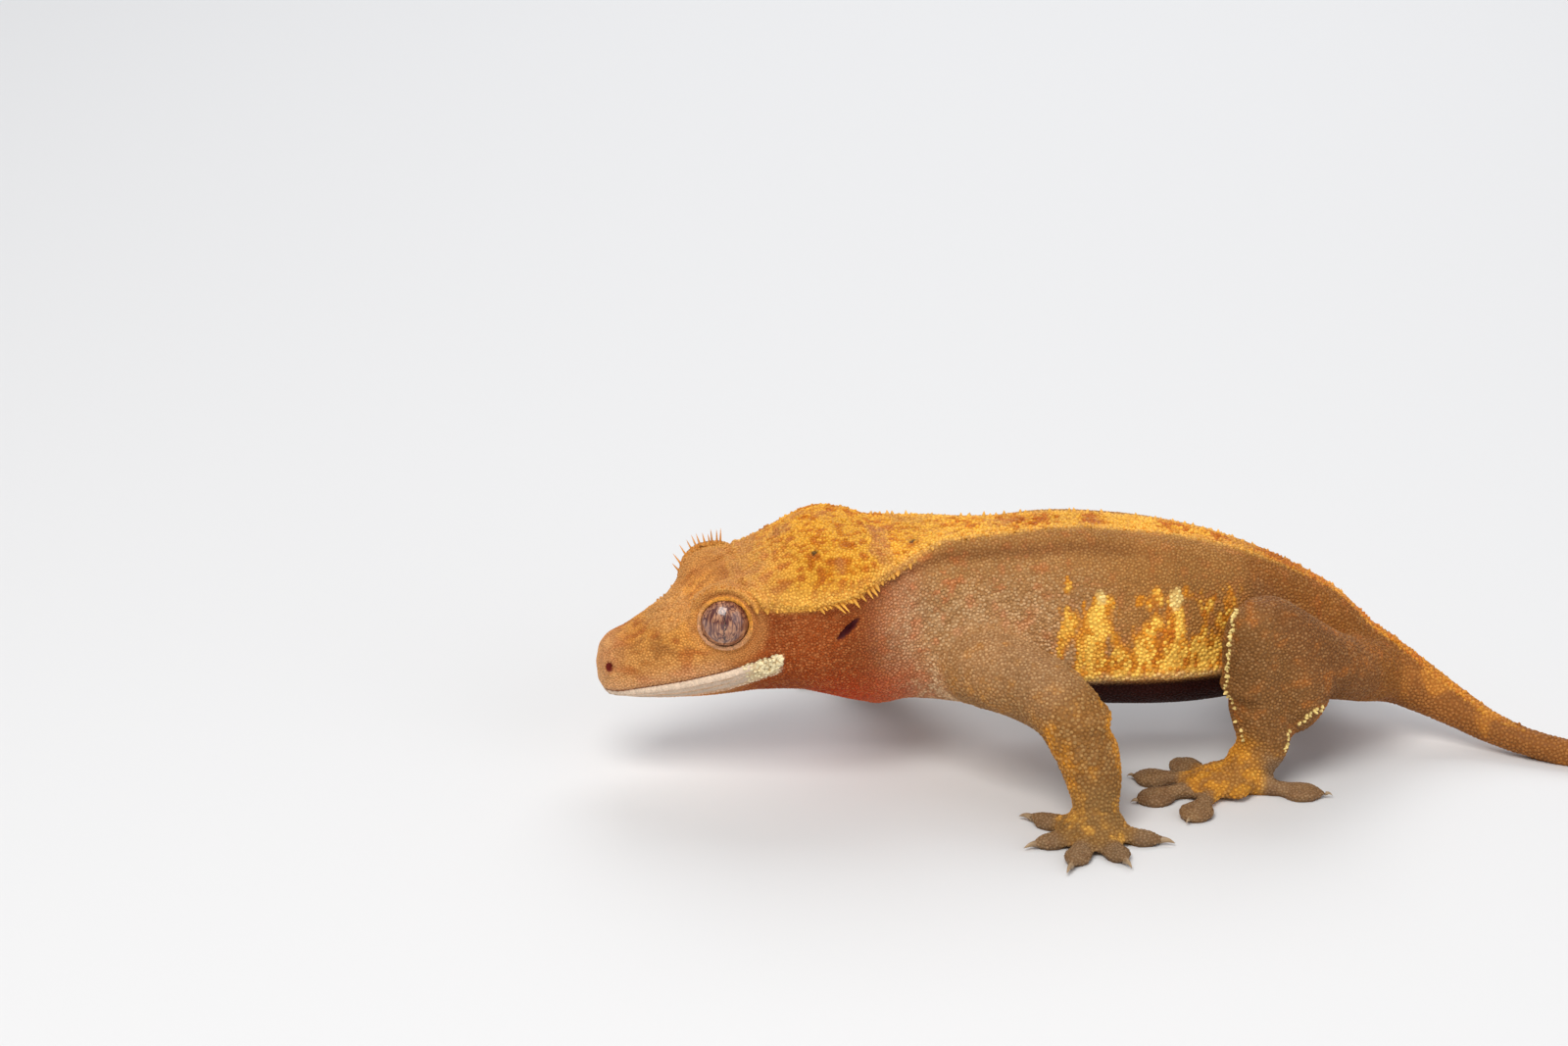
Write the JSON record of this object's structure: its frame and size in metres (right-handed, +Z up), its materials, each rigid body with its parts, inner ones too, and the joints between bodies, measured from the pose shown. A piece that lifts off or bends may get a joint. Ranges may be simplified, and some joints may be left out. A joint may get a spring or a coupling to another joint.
{
  "type": "crested gecko",
  "caption": "Life-size crested gecko standing with its head up, eyes open, crested brow and nape, padded toes and its tail laid in a curve.",
  "frame": {"origin": "on the ground under the middle of the whole animal, tail included", "axes": "+X from the snout towards the tail, +Y towards the animal's right side, +Z up"},
  "size_m": [0.1714, 0.0786, 0.0341],
  "materials": {
    "skin": "dry granular lizard skin, slightly satin",
    "scale": "small raised granular scales, slightly satin",
    "claw": "smooth pale brown horn",
    "eye": "wet, glossy and clear over a patterned iris"
  },
  "bodies": {
    "root": {"head": "skin", "lower_jaw": "skin", "eye_left": "eye", "eye_right": "eye", "neck": "skin", "chest": "skin", "belly": "skin", "pelvis": "skin", "tail_base": "skin", "tail_middle": "skin", "tail_tip": "skin", "upper_arm_left": "skin", "forearm_left": "skin", "forefoot_left": "skin", "upper_arm_right": "skin", "forearm_right": "skin", "forefoot_right": "skin", "thigh_left": "skin", "shin_left": "skin", "hindfoot_left": "skin", "thigh_right": "skin", "shin_right": "skin", "hindfoot_right": "skin"}
  },
  "joints": []
}
